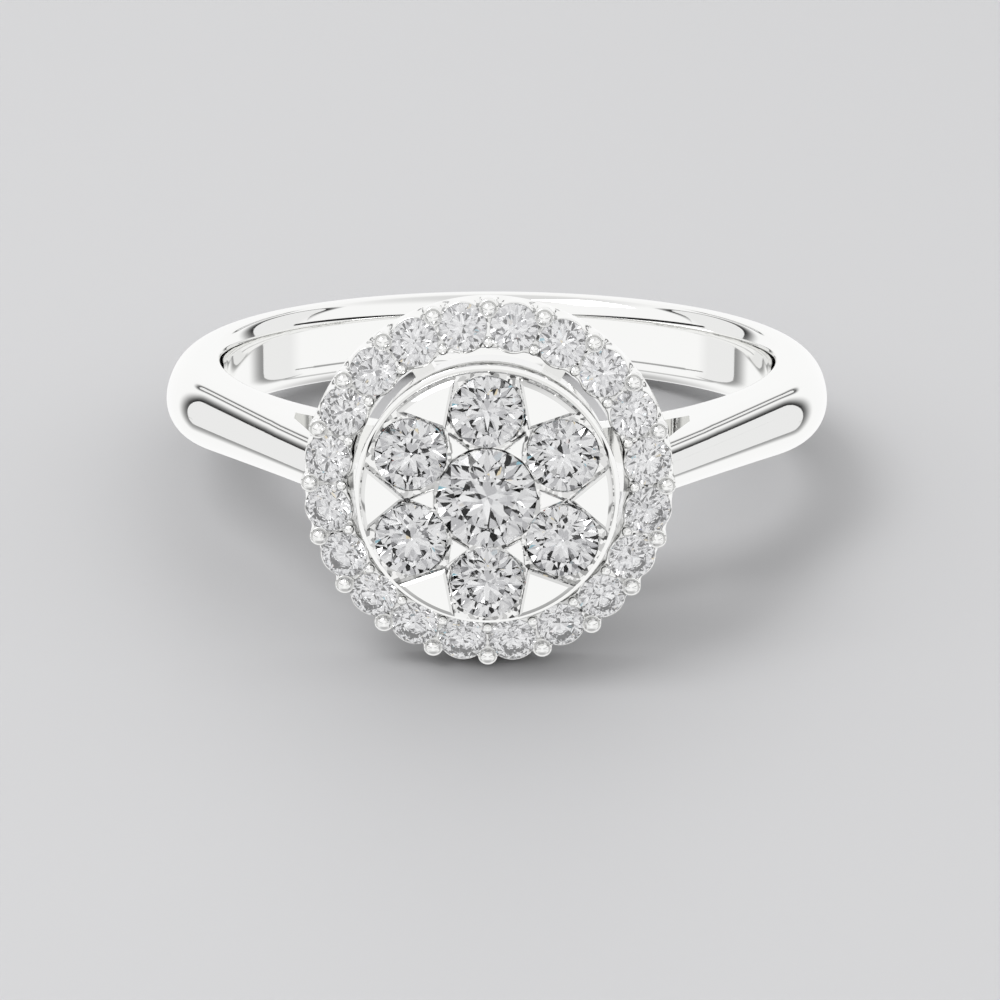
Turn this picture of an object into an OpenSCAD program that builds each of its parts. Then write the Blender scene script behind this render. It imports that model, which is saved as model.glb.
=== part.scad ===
// Cluster halo ring: a polished cathedral band carries a raised cup with seven brilliants,
// inside a halo of twenty smaller brilliants held by beads.
// Everything is drawn about the finger axis, with the head towards -Y, and laid on its side at the end.
// The head's own parts are drawn with their Z axis pointing out of the finger, and turned by head_place.

/* [Finger and band] */
// Inside diameter of the band
finger_d = 17.7; // [17.2:0.1:18.2]
// Radial thickness of the band at its back and sides
band_t = 1.75; // [1.5:0.05:2]
// Radial depth of the domed crown on the band's outside
crown_t = 1.12; // [0.8:0.02:1.2]
// Width of the band at its back
back_w = 2.7; // [2.4:0.05:3]
// Width of the band at its sides
side_w = 2.44; // [2.1:0.02:2.6]
// Width of the band where it meets the head
head_w = 1.54; // [1.3:0.02:1.8]

/* [Cathedral shoulders] */
// How far the shoulders swell beyond the band's outside before they run straight to the halo
shoulder_swell = 0.42; // [0.2:0.02:0.6]
// Angle past the band's side at which a shoulder starts to run straight
shoulder_angle = 32.1; // [28:0.1:36]
// Radial thickness of the band under the head, below the open gallery
base_t = 1.25; // [1.1:0.05:1.4]
// Half length of the gallery opening, at the band
gallery_x = 5.95; // [5.6:0.05:6.1]
// Half length of the gallery opening, at the halo
gallery_top_x = 4.25; // [4.1:0.05:4.5]

/* [Halo] */
// Number of halo stones, and of beads in each of the two rows
halo_n = 20; // [20:20]
// Diameter of a halo stone
halo_stone_d = 1.38; // [1.3:0.01:1.4]
// Radius of the circle that the halo stones stand on
halo_stone_r = 4.68; // [4.66:0.01:4.72]
// Angle by which the halo's face falls away towards its rim
halo_slope = 17.8; // [12:0.1:20]
// Height of the outer beads above the finger hole
halo_rise = 4.74; // [4.6:0.01:4.9]
// Radius of the circle of outer beads
outer_bead_r = 5.145; // [5.12:0.005:5.16]
// Diameter of an outer bead
outer_bead_d = 0.44; // [0.4:0.01:0.5]
// Radius of the circle of inner beads
inner_bead_r = 4.22; // [4.18:0.005:4.24]
// Diameter of an inner bead
inner_bead_d = 0.32; // [0.28:0.01:0.36]

/* [Cluster] */
// Number of stones around the centre stone
ring_n = 6; // [6:6]
// Diameter of the centre stone
centre_d = 2.87; // [2.7:0.01:2.88]
// Diameter of a stone around it
ring_stone_d = 2.06; // [1.9:0.01:2.08]
// Radius of the circle that these stones stand on
ring_stone_r = 2.5; // [2.49:0.01:2.54]
// Height of the cup's rim above the finger hole
cup_rise = 6.08; // [5.9:0.01:6.2]
// Height of the flat wedges above the finger hole
wedge_rise = 6.69; // [6.6:0.01:6.8]
// Outside radius of the cup at its rim
cup_r = 3.79; // [3.74:0.01:3.8]

/* [Hidden] */
$fn = 48;

// Clearance of each stone in its seat
stone_gap = 0.02;

// Band
finger_r = finger_d / 2;
band_r = finger_r + band_t;
shoulder_r = band_r + shoulder_swell;
base_r = finger_r + base_t;
band_steps = 90;
crown_steps = 14;
taper_end = 72;
sweep_in_r = finger_r - 0.5;
flank_in_r = finger_r + 0.4;
flank_slant = 13;
slant_end = 30;

// Halo: its face passes just under the beads' centres, and its wall steps out to a plain ring at the back
bead_h = finger_r + halo_rise;
face_drop = 0.1;
halo_in_r = 3.92;
halo_out_r = 5.22;
halo_back_h = finger_r + 3.55;
rail_back_r = 5.33;
rail_r = 5.37;
rail_h = halo_back_h + 0.3;
lobe_r = 0.7;
post_r = 0.28;
post_ring_r = 5.15;
post_back_r = 0.2;
post_ring_back_r = 5.06;
post_rise = bead_h + 0.1 - rail_h;
post_lean = atan2(post_ring_r - post_ring_back_r, post_rise);
arm_top_h = rail_h;

// Cup: its wall leans in towards the back, and the seats and wedges stand above its thin rim.
// plate_h is the height of the outer stones' girdles.
rim_h = finger_r + cup_rise;
rim_t = 0.11;
cup_depth = 2.38;
cup_back_h = rim_h - cup_depth;
cup_lean = 4.4;
wedge_h = finger_r + wedge_rise;
wedge_out_r = 3.55;
plate_h = wedge_h - 0.27;
centre_lift = 0.1;
pocket_floor = 0.1;

// Flat wedges between the stones, and the small prongs around the centre stone
wedge_tip_r = 2.36;
wedge_half = 16.2;
prong_in_r = 1.5;
prong_tip_r = 2.2;
prong_half_w = 0.29;

// Bridges that tie the cup to the halo
bridge_w = 0.6;
bridge_h = 0.7;

// Back holes under the stones
halo_azure_r = 0.3;
ring_azure_r = 0.45;
centre_azure_r = 0.6;

// Brilliant cut, as shares of the stone's diameter or as angles
table_share = 0.57;
crown_angle = 34.5;
pavilion_angle = 40.75;
girdle_share = 0.03;
star_share = 0.5;
half_share = 0.77;
mains = 8;
main_step = 360 / mains;

// Rest on the table: the ring leans on the back edge of the halo and on the band's back edge.
// The lean solves rail_back_r * cos - halo_back_h * sin = flank_r * sin + the crown's reach.
flank_r = band_r - crown_t;
reach = halo_back_h + flank_r;
lean_a = reach * reach - crown_t * crown_t;
lean_b = reach * rail_back_r;
lean_c = rail_back_r * rail_back_r - back_w * back_w / 4;
lean = atan((lean_b - sqrt(lean_b * lean_b - lean_a * lean_c)) / lean_a);
floor_drop = rail_back_r * cos(lean) - halo_back_h * sin(lean);
table_h = plate_h + ring_stone_d / 2 * (girdle_share + (1 - table_share) * tan(crown_angle));
front_y = -table_h * cos(lean) - (ring_stone_r + ring_stone_d / 2 * table_share) * sin(lean);
back_reach = sqrt(pow(crown_t * cos(lean), 2) + pow(back_w / 2 * sin(lean), 2));
back_y = flank_r * cos(lean) + back_reach;
mid_y = (front_y + back_y) / 2;

function two(i) = i < 10 ? str("0", i) : str(i);
function mix(a, b, t) = a + (b - a) * t;
function ease(t) = t * t * (3 - 2 * t);
function polar(r, a) = [r * cos(a), r * sin(a)];

// Height of the halo's face at a radius
function face_h(r) = bead_h - face_drop - (r - outer_bead_r) * tan(halo_slope);

// Outer radius of band and shoulder, at an angle past the band's side
function outer_r(s) =
    s <= 0 ? band_r :
    s < shoulder_angle ? mix(band_r, shoulder_r, ease(s / shoulder_angle)) :
    min(shoulder_r / cos(s - shoulder_angle), (arm_top_h + 1) / sin(s));

// Width of band and shoulder, at an angle past the band's side
function width_at(s) =
    s <= 0 ? mix(back_w, side_w, pow(1 + s / 90, 4)) :
    mix(side_w, head_w, min(s / taper_end, 1));

// Radial depth of the crown: the same depth across a shoulder that runs at a slant
function crown_at(s) = crown_t / cos(max(0, min(s, taper_end) - shoulder_angle));

// How much each flank slants in at the finger hole: none at the back, all of it under the head
function flank_cut(s) =
    (flank_in_r - sweep_in_r) * tan(flank_slant) * ease(max(0, min(s / slant_end, 1)));

// One cross-section as [radius, height] points, anticlockwise from the inner lower corner
function section(s) =
    let (r = outer_r(s), c = crown_at(s), w = width_at(s) / 2, in_w = w - flank_cut(s))
    concat([[sweep_in_r, -in_w], [flank_in_r, -w]],
           [for (i = [0 : crown_steps])
               let (u = -90 + 180 * i / crown_steps) [r - c + c * cos(u), w * sin(u)]],
           [[flank_in_r, w], [sweep_in_r, in_w]]);

// Band and shoulders as one ring of cross-sections round the finger axis
module shank() {
    count = crown_steps + 5;
    points = [for (k = [0 : band_steps - 1])
        let (a = 360 * k / band_steps, s = asin(-sin(a)))
        for (p = section(s)) [p[0] * cos(a), p[0] * sin(a), p[1]]];
    faces = [for (k = [0 : band_steps - 1], i = [0 : count - 1])
        let (k2 = (k + 1) % band_steps, i2 = (i + 1) % count)
        for (f = [[k * count + i, k * count + i2, k2 * count + i2],
                  [k * count + i, k2 * count + i2, k2 * count + i]]) f];
    polyhedron(points, faces);
}

// Turns a part drawn along +Z so that it points out of the finger, towards -Y
module head_place() {
    rotate([90, 0, 0]) children();
}

// Band, cut by the finger hole, by the open gallery under the head, and level at the halo's back
module band() {
    difference() {
        shank();
        cylinder(r = finger_r, h = 2 * back_w, center = true, $fn = 120);
        translate([-10, -arm_top_h - 10, -5]) cube([20, 10, 10]);
        translate([0, 0, -5]) linear_extrude(10) difference() {
            polygon([[-gallery_x, -7], [gallery_x, -7], [gallery_x, -8.85],
                     [gallery_top_x, -arm_top_h - 1], [-gallery_top_x, -arm_top_h - 1],
                     [-gallery_x, -8.85]]);
            circle(r = base_r, $fn = 120);
        }
    }
}

// Envelope of a brilliant of diameter d, grown by the clearance and open above its table
module stone_void(d) {
    r = d / 2 + stone_gap;
    g = d * girdle_share / 2 + stone_gap;
    top_r = d / 2 * table_share + stone_gap;
    top = g + (r - top_r) * tan(crown_angle);
    rotate_extrude() polygon([[0, -g - r * tan(pavilion_angle)], [r, -g], [r, g],
                              [top_r, top], [top_r, top + 1], [0, top + 1]]);
}

// Place of halo stone k, with Z along the stone's axis and zero in its girdle
module halo_spot(k) {
    rotate([0, 0, (k + 0.5) * 360 / halo_n])
        translate([halo_stone_r, 0, face_h(halo_stone_r)])
            rotate([0, halo_slope, 0]) children();
}

// Place of a cluster stone k
module ring_spot(k) {
    rotate([0, 0, (k + 0.5) * 360 / ring_n]) translate([ring_stone_r, 0, plate_h]) children();
}

// Halo: annular plate with a lobe round each stone and a post at each outer bead
module halo() {
    difference() {
        union() {
            intersection() {
                union() {
                    rotate_extrude($fn = 120) polygon([
                        [halo_in_r, halo_back_h], [rail_back_r, halo_back_h], [rail_r, rail_h],
                        [halo_out_r, rail_h + 0.4], [halo_out_r, bead_h + 1], [halo_in_r, bead_h + 1]]);
                    for (k = [0 : halo_n - 1]) rotate([0, 0, (k + 0.5) * 360 / halo_n])
                        translate([halo_stone_r, 0, halo_back_h + 0.2]) cylinder(r = lobe_r, h = 1.5);
                }
                rotate_extrude($fn = 120) polygon([[0, 0], [6, 0], [6, face_h(6)], [0, face_h(0)]]);
            }
            for (k = [0 : halo_n - 1]) rotate([0, 0, k * 360 / halo_n]) {
                translate([post_ring_back_r, 0, rail_h]) rotate([0, post_lean, 0])
                    cylinder(r1 = post_back_r, r2 = post_r, h = post_rise / cos(post_lean));
                translate([outer_bead_r, 0, bead_h]) sphere(d = outer_bead_d);
                translate([inner_bead_r, 0, face_h(inner_bead_r) - 0.2])
                    cylinder(d = inner_bead_d, h = 0.2 + face_drop);
                translate([inner_bead_r, 0, face_h(inner_bead_r) + face_drop]) sphere(d = inner_bead_d);
            }
        }
        for (k = [0 : halo_n - 1]) halo_spot(k) translate([0, 0, -3]) cylinder(r = halo_azure_r, h = 3);
    }
}

// Outline of a wedge between two outer stones: a point towards the centre, and an arc over the rim
module wedge_outline() {
    arc = [for (a = [-wedge_half : wedge_half / 4 : wedge_half]) polar(cup_r - rim_t / 2, a)];
    polygon(concat([[wedge_tip_r, 0]], arc));
}

// Outline of a prong between the centre stone and two outer stones
module prong_outline() {
    polygon([[prong_in_r, -prong_half_w], [prong_tip_r, 0], [prong_in_r, prong_half_w]]);
}

// Cup: leaning wall with a thin rim, and inside it a plate with flat wedges and small prongs
module cup() {
    back_r = cup_r - cup_depth * tan(cup_lean);
    difference() {
        rotate_extrude($fn = 120) polygon([
            [0, cup_back_h], [back_r, cup_back_h], [cup_r, rim_h], [cup_r - rim_t, rim_h],
            [wedge_out_r, wedge_h], [0, wedge_h]]);
        translate([0, 0, plate_h - pocket_floor]) linear_extrude(1) difference() {
            circle(r = cup_r, $fn = 120);
            for (k = [0 : ring_n - 1]) rotate(k * 360 / ring_n) {
                wedge_outline();
                prong_outline();
            }
        }
        translate([0, 0, cup_back_h - 1]) cylinder(r = centre_azure_r, h = 4);
        for (k = [0 : ring_n - 1]) ring_spot(k) translate([0, 0, -4]) cylinder(r = ring_azure_r, h = 4);
    }
}

// Bridges between cup and halo, under the gap that runs round the cup
module bridges() {
    for (k = [0 : ring_n - 1]) rotate([0, 0, k * 360 / ring_n])
        translate([cup_r - 0.6, -bridge_w / 2, halo_back_h]) cube([0.9, bridge_w, bridge_h]);
}

// All the soldered metal, with the stones' seats cut into it
module ring_mount_upright() {
    difference() {
        union() {
            band();
            head_place() {
                halo();
                cup();
                bridges();
            }
        }
        head_place() {
            for (k = [0 : halo_n - 1]) halo_spot(k) stone_void(halo_stone_d);
            for (k = [0 : ring_n - 1]) ring_spot(k) stone_void(ring_stone_d);
            translate([0, 0, plate_h + centre_lift]) stone_void(centre_d);
        }
    }
}

// Corner points of a brilliant of diameter d, with its girdle about zero: table, star points,
// upper girdle, lower girdle, lower half points, culet
function brilliant_points(d) =
    let (r = d / 2, g = d * girdle_share / 2, half = main_step / 2,
         table_r = r * table_share,
         star_r = mix(table_r * cos(half), r, star_share),
         half_r = r * (1 - half_share),
         table_z = g + (r - table_r) * tan(crown_angle),
         star_z = g + (r - star_r * cos(half)) * tan(crown_angle),
         half_z = -g - (r - half_r * cos(half)) * tan(pavilion_angle))
    concat([for (i = [0 : mains - 1]) concat(polar(table_r, i * main_step), table_z)],
           [for (i = [0 : mains - 1]) concat(polar(star_r, (i + 0.5) * main_step), star_z)],
           [for (i = [0 : 2 * mains - 1]) concat(polar(r, i * half), g)],
           [for (i = [0 : 2 * mains - 1]) concat(polar(r, i * half), -g)],
           [for (i = [0 : mains - 1]) concat(polar(half_r, (i + 0.5) * main_step), half_z)],
           [[0, 0, -g - r * tan(pavilion_angle)]]);

// Facets of a brilliant, each listed clockwise as seen from outside
function brilliant_faces() =
    let (n = mains, star = n, up = 2 * n, low = 4 * n, half = 6 * n, culet = 7 * n)
    concat([[for (i = [n - 1 : -1 : 0]) i]],
           [for (i = [0 : n - 1]) [i, (i + 1) % n, star + i]],
           [for (i = [0 : n - 1]) [i, star + i, up + 2 * i, star + (i + n - 1) % n]],
           [for (i = [0 : n - 1]) [star + i, up + 2 * i + 1, up + 2 * i]],
           [for (i = [0 : n - 1]) [star + i, up + (2 * i + 2) % (2 * n), up + 2 * i + 1]],
           [for (i = [0 : 2 * n - 1]) let (j = (i + 1) % (2 * n)) [up + i, up + j, low + j, low + i]],
           [for (i = [0 : n - 1]) [low + 2 * i, low + 2 * i + 1, half + i]],
           [for (i = [0 : n - 1]) [low + 2 * i + 1, low + (2 * i + 2) % (2 * n), half + i]],
           [for (i = [0 : n - 1]) [low + 2 * i, half + i, culet, half + (i + n - 1) % n]]);

// Brilliant-cut stone
module brilliant(d) {
    polyhedron(brilliant_points(d), brilliant_faces());
}

// Lays the ring on its side: the head end is raised, the lowest points come to z = 0,
// and the middle of the ring's length comes to y = 0
module lie() {
    translate([0, -mid_y, floor_drop]) rotate([-lean, 0, 0]) children();
}

module ring_mount() {
    color("gainsboro") lie() ring_mount_upright();
}

module centre_stone() {
    color("aliceblue") lie() head_place() translate([0, 0, plate_h + centre_lift]) brilliant(centre_d);
}

module cluster_stone(k) {
    color("azure") lie() head_place() ring_spot(k) brilliant(ring_stone_d);
}

module halo_stone(k) {
    color("lightcyan") lie() head_place() halo_spot(k) brilliant(halo_stone_d);
}

ring_mount();
centre_stone();
for (i = [1 : ring_n])
    cluster_stone(i - 1);
for (i = [1 : halo_n])
    halo_stone(i - 1);
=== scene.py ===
import math

import bmesh
import bpy
import numpy as np
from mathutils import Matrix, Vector


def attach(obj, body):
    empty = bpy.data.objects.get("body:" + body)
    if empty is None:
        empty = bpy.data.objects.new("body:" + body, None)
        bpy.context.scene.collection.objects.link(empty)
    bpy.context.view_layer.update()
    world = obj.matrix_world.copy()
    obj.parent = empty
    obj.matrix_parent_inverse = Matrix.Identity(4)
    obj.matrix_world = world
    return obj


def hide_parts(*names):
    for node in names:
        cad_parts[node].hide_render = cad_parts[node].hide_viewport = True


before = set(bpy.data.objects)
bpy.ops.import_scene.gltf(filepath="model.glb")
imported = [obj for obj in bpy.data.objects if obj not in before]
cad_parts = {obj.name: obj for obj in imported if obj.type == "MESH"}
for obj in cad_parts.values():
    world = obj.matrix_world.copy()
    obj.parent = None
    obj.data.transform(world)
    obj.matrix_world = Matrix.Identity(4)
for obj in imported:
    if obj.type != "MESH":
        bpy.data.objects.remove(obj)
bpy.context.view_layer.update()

# Lengths are millimetres about the finger axis, with the head towards -Y, until layDown moves them.
# Angles in the dictionaries are degrees.
ring = {
    "fingerR": 8.85, "bandR": 10.6, "crown": 1.12, "backW": 2.7, "sideW": 2.44, "headW": 1.54,
    "shoulderR": 11.02, "shoulderAngle": 32.1, "taperEnd": 72.0, "baseR": 10.1,
    "windowX": 5.95, "windowY": 8.85, "windowTopX": 4.25, "windowTopY": 13.7, "armTop": 12.6,
    "comfortDeep": 0.42, "comfortWide": 0.75, "comfortFrom": 0.7, "comfortLeast": 0.4,
    "slantR": 9.25, "slant": 13.0, "slantEnd": 30.0, "bevel": 0.05,
}
ringSteps = {
    "band": 240, "base": 72, "armFoot": 4, "arm": 24,
    "bore": 4, "corner": 14, "flank": 4, "dome": 22, "wall": 6,
}
lay = {"lean": 10.270997, "midY": -2.724775, "floorDrop": 3.033617}


def smooth(t):  # 3t^2 - 2t^3, held between 0 and 1
    t = np.clip(t, 0, 1)
    return t * t * (3 - 2 * t)


def mix(a, b, t):  # straight blend from a to b
    return a + (b - a) * t


def layDown(p):  # turns points by the lean about X, then lifts them onto the floor; millimetres to metres
    a = math.radians(lay["lean"])
    x, y, z = p[..., 0], p[..., 1], p[..., 2]
    y2 = y * math.cos(a) + z * math.sin(a) - lay["midY"]
    z2 = -y * math.sin(a) + z * math.cos(a) + lay["floorDrop"]
    return np.stack([x, y2, z2], -1) / 1000


def headPoint(r, angle, h):  # radius and angle about the head's axis, and height h out of the finger hole
    r, angle, h = np.broadcast_arrays(np.asarray(r, float), np.asarray(angle, float), np.asarray(h, float))
    return np.stack([r * np.cos(angle), -h, r * np.sin(angle)], -1)


# A part is its points, the quads between them, and each quad's painted light: how far its pattern of painted
# glints shows, and its painted shade.
def gridPart(points, closeV=False):  # quads between the neighbours in an array of points of shape (u, v, 3)
    nu, nv = points.shape[:2]
    i, j = np.meshgrid(np.arange(nu - 1), np.arange(nv if closeV else nv - 1), indexing="ij")
    j2 = (j + 1) % nv
    quads = np.stack([i * nv + j, (i + 1) * nv + j, (i + 1) * nv + j2, i * nv + j2], -1).reshape(-1, 4)
    return points.reshape(-1, 3), quads, np.tile([0.0, 1.0], (len(quads), 1))


def withPaintedLight(part, cut=0.0, light=1.0):  # the part with other painted glints and painted shade, for all quads or one a row of them
    points, quads, _ = part
    cut, light = np.broadcast_arrays(np.atleast_1d(cut), np.atleast_1d(light))
    look = np.stack([cut, light], 1).astype(float)
    return points, quads, look.repeat(len(quads) // len(look), 0)


def joinParts(parts):  # several parts as one
    starts = np.cumsum([0] + [len(points) for points, _, _ in parts[:-1]])
    points = np.concatenate([points for points, _, _ in parts])
    quads = np.concatenate([quads + start for (_, quads, _), start in zip(parts, starts)])
    return points, quads, np.concatenate([look for _, _, look in parts])


def weldPart(part, stepsPerMm=2e4):  # equal points become one; a quad that loses a corner becomes a triangle
    points, quads, look = part
    key = np.round(points * stepsPerMm).astype(np.int64)
    _, first, back = np.unique(key, axis=0, return_index=True, return_inverse=True)
    quads = back.reshape(-1)[quads]
    same = np.stack([quads[:, k] == quads[:, (k + 1) % 4] for k in range(4)], 1)
    folded = (quads[:, 0] == quads[:, 2]) | (quads[:, 1] == quads[:, 3])
    isQuad = (same.sum(1) == 0) & ~folded
    isTriangle = (same.sum(1) == 1) & ~folded
    lost = same[isTriangle].argmax(1)
    triangles = np.take_along_axis(quads[isTriangle], (lost[:, None] + np.array([1, 2, 3])) % 4, 1)
    faces = quads[isQuad].tolist() + triangles.tolist()
    return points[first], faces, np.concatenate([look[isQuad], look[isTriangle]])


def makePiece(name, parts, material, sharpAngle=32.0, bevel=0.0, bevelFrom=40.0):
    # welds the parts into one mesh, with smooth shading up to the sharp angle, that stands in for the mount
    points, faces, look = weldPart(joinParts(parts))
    mesh = bpy.data.meshes.new(name)
    mesh.from_pydata(layDown(points).tolist(), [], faces)
    work = bmesh.new()
    work.from_mesh(mesh)
    bmesh.ops.recalc_face_normals(work, faces=work.faces[:])
    work.to_mesh(mesh)
    work.free()
    # each face keeps its share of painted glints and its painted shade
    for column, word in enumerate(("cut", "light")):
        values = mesh.attributes.new(word, "FLOAT", "FACE").data
        values.foreach_set("value", look[:, column].astype(np.float32))
    mesh.shade_smooth()
    mesh.set_sharp_from_angle(angle=math.radians(sharpAngle))
    mesh.materials.append(material)
    piece = bpy.data.objects.new(name, mesh)
    bpy.context.scene.collection.objects.link(piece)
    if bevel:
        edge = piece.modifiers.new("edge", "BEVEL")
        edge.width = bevel / 1000
        edge.segments = 2
        edge.limit_method = "ANGLE"
        edge.angle_limit = math.radians(bevelFrom)
        edge.harden_normals = True
    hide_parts("ring_mount")
    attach(piece, "root")
    print("built", name, "with", len(mesh.polygons), "faces")
    return piece


# Short forms for the nodes of materials and of the world
def feed(tree, socket, value):  # gives an input a value, or links another node's output to it
    if isinstance(value, bpy.types.NodeSocket):
        tree.links.new(value, socket)
    else:
        socket.default_value = value


def newNode(tree, kind, feeds=None, **settings):  # a node with its settings and what goes into its inputs
    node = tree.nodes.new(kind)
    for word, value in settings.items():
        setattr(node, word, value)
    for place, value in (feeds or {}).items():
        feed(tree, node.inputs[place], value)
    return node


def mathNode(tree, operation, *values):  # one Math node
    return newNode(tree, "ShaderNodeMath", dict(enumerate(values)), operation=operation).outputs[0]


def clampNode(tree, value, low, high):  # holds a value between two limits
    return mathNode(tree, "MINIMUM", mathNode(tree, "MAXIMUM", value, low), high)


def dotNode(tree, ray, direction):  # how far a direction goes along another
    node = newNode(tree, "ShaderNodeVectorMath", {0: ray, 1: direction}, operation="DOT_PRODUCT")
    return node.outputs["Value"]


def fadeNode(tree, value, start, end, first, last):  # goes smoothly from the first tone to the last
    feeds = {"Value": value, "From Min": start, "From Max": end, "To Min": first, "To Max": last}
    return newNode(tree, "ShaderNodeMapRange", feeds, interpolation_type="SMOOTHSTEP").outputs["Result"]


def colourNode(tree, share, first, second, blend="MIX"):  # mixes two colours
    feeds = {0: share, 6: first, 7: second}
    return newNode(tree, "ShaderNodeMix", feeds, data_type="RGBA", blend_type=blend).outputs[2]


def shaderNode(tree, share, first, second):  # mixes two shaders
    return newNode(tree, "ShaderNodeMixShader", {0: share, 1: first, 2: second}).outputs[0]


def patchNode(tree, place, scale, shades):  # cells of even colour; a shade holds from its share to the next
    cells = newNode(tree, "ShaderNodeTexVoronoi", {"Vector": place, "Scale": scale})
    pick = newNode(tree, "ShaderNodeSeparateColor", {0: cells.outputs["Color"]})
    ramp = newNode(tree, "ShaderNodeValToRGB", {"Fac": pick.outputs[0]})
    ramp.color_ramp.interpolation = "CONSTANT"
    stops = ramp.color_ramp.elements
    for at, _ in shades[1:-1]:
        stops.new(at)
    for stop, (at, colour) in zip(stops, shades):
        stop.position = at
        stop.color = colour
    return ramp.outputs["Color"]


def grey(value):
    return value, value, value, 1


# The grey patches in the shades below are painted glints and reflections on the metal.
metalLook = {
    "colour": (0.93, 0.93, 0.92, 1), "roughLow": 0.028, "roughHigh": 0.06,
    "grainScale": 900.0, "grainDetail": 3, "wave": 0.012, "waveScale": 260.0, "waveDepth": 0.2,
    "cutScale": 8500.0, "cutShades": [(0.0, 0.1), (0.08, 0.4), (0.22, 0.62), (0.42, 0.8), (0.68, 0.96)],
}


def metalMaterial():  # a cloudy polish and a faint wave; painted glints and painted shade darken its colour
    m = bpy.data.materials.new("polishedWhiteGold")
    m.use_nodes = True
    tree = m.node_tree
    place = newNode(tree, "ShaderNodeTexCoord").outputs["Object"]
    grainFeeds = {"Vector": place, "Scale": metalLook["grainScale"], "Detail": metalLook["grainDetail"]}
    grain = newNode(tree, "ShaderNodeTexNoise", grainFeeds)
    roughFeeds = {"Value": grain.outputs["Fac"],
                  "To Min": metalLook["roughLow"], "To Max": metalLook["roughHigh"]}
    rough = newNode(tree, "ShaderNodeMapRange", roughFeeds)
    wave = newNode(tree, "ShaderNodeTexNoise", {"Vector": place, "Scale": metalLook["waveScale"]})
    bumpFeeds = {"Height": wave.outputs["Fac"], "Strength": metalLook["wave"],
                 "Distance": metalLook["waveDepth"] / 1000}
    bump = newNode(tree, "ShaderNodeBump", bumpFeeds)
    cutShades = [(at, grey(value)) for at, value in metalLook["cutShades"]]
    pattern = patchNode(tree, place, metalLook["cutScale"], cutShades)
    cut = newNode(tree, "ShaderNodeAttribute", attribute_name="cut").outputs["Fac"]
    light = newNode(tree, "ShaderNodeAttribute", attribute_name="light").outputs["Fac"]
    # painted glints, then painted shade, darken the metal's colour
    tone = colourNode(tree, cut, grey(1), pattern)
    tone = colourNode(tree, 1, tone, light, "MULTIPLY")
    tone = colourNode(tree, 1, tone, metalLook["colour"], "MULTIPLY")
    shader = tree.nodes["Principled BSDF"]
    feed(tree, shader.inputs["Base Color"], tone)
    feed(tree, shader.inputs["Roughness"], rough.outputs["Result"])
    feed(tree, shader.inputs["Normal"], bump.outputs["Normal"])
    feed(tree, shader.inputs["Metallic"], 1)
    return m


diamondLook = {
    "ior": 2.42, "clear": grey(1), "cloudy": (0.965, 0.966, 0.97, 1), "cloudScale": 700.0, "shine": 0.05,
    "paintedGlow": {"diamond": 0.0, "smallDiamond": 0.2}, "paintedGlowColour": (0.97, 0.97, 0.98, 1),
}


def diamondMaterial(name):  # glass that bends light as diamond does, a trace of cloud, a painted glow on its front
    m = bpy.data.materials.new(name)
    m.use_nodes = True
    m.cycles.emission_sampling = "NONE"  # the painted glow lights nothing else
    tree = m.node_tree
    tree.nodes.remove(tree.nodes["Principled BSDF"])
    place = newNode(tree, "ShaderNodeTexCoord").outputs["Object"]
    cloud = newNode(tree, "ShaderNodeTexNoise", {"Vector": place, "Scale": diamondLook["cloudScale"]})
    tint = colourNode(tree, cloud.outputs["Fac"], diamondLook["clear"], diamondLook["cloudy"])
    clearFeeds = {"Roughness": 0, "IOR": diamondLook["ior"], "Color": tint}
    inner = newNode(tree, "ShaderNodeBsdfGlass", clearFeeds).outputs[0]
    outer = newNode(tree, "ShaderNodeBsdfRefraction", clearFeeds).outputs[0]
    shine = newNode(tree, "ShaderNodeBsdfGlossy", {"Roughness": 0}).outputs[0]
    # an emission on the front is a painted glow that brightens the stones
    paintedGlow = newNode(tree, "ShaderNodeEmission", {"Color": diamondLook["paintedGlowColour"]}).outputs[0]
    isInside = newNode(tree, "ShaderNodeNewGeometry").outputs["Backfacing"]
    front = shaderNode(tree, diamondLook["shine"], outer, shine)
    front = shaderNode(tree, diamondLook["paintedGlow"][name], front, paintedGlow)
    both = shaderNode(tree, isInside, front, inner)
    tree.links.new(both, tree.nodes["Material Output"].inputs["Surface"])
    return m


metal = metalMaterial()
diamond = diamondMaterial("diamond")
smallDiamond = diamondMaterial("smallDiamond")
print("materials made")


# Band, shoulders and base under the gallery; s is how far past the finger's side, towards the head
def outerR(s):  # outer radius: round, then swelling, then a straight line to the halo
    swell = mix(ring["bandR"], ring["shoulderR"], smooth(s / ring["shoulderAngle"]))
    straight = ring["shoulderR"] / np.cos(np.radians(np.maximum(s - ring["shoulderAngle"], 0)))
    return np.where(s < ring["shoulderAngle"], swell, straight)


def halfWidth(s):  # half the width: a fourth power from the back to the side, then a straight taper
    back = mix(ring["backW"], ring["sideW"], np.clip(1 + s / 90, 0, 1) ** 4)
    front = mix(ring["sideW"], ring["headW"], np.clip(s / ring["taperEnd"], 0, 1))
    return np.where(s <= 0, back, front) / 2


def crownDepth(s):  # depth of the dome along the radius, longer where the shoulder runs at a slant
    slant = np.radians(np.clip(s, 0, ring["taperEnd"]) - ring["shoulderAngle"]).clip(0)
    return ring["crown"] / np.cos(slant)


def flankHeight(r, s):  # half width of the flat flank at radius r, slanting in at the finger hole
    slant = math.tan(math.radians(ring["slant"])) * smooth(s / ring["slantEnd"])
    return halfWidth(s) - slant * np.maximum(ring["slantR"] - r, 0)


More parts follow.
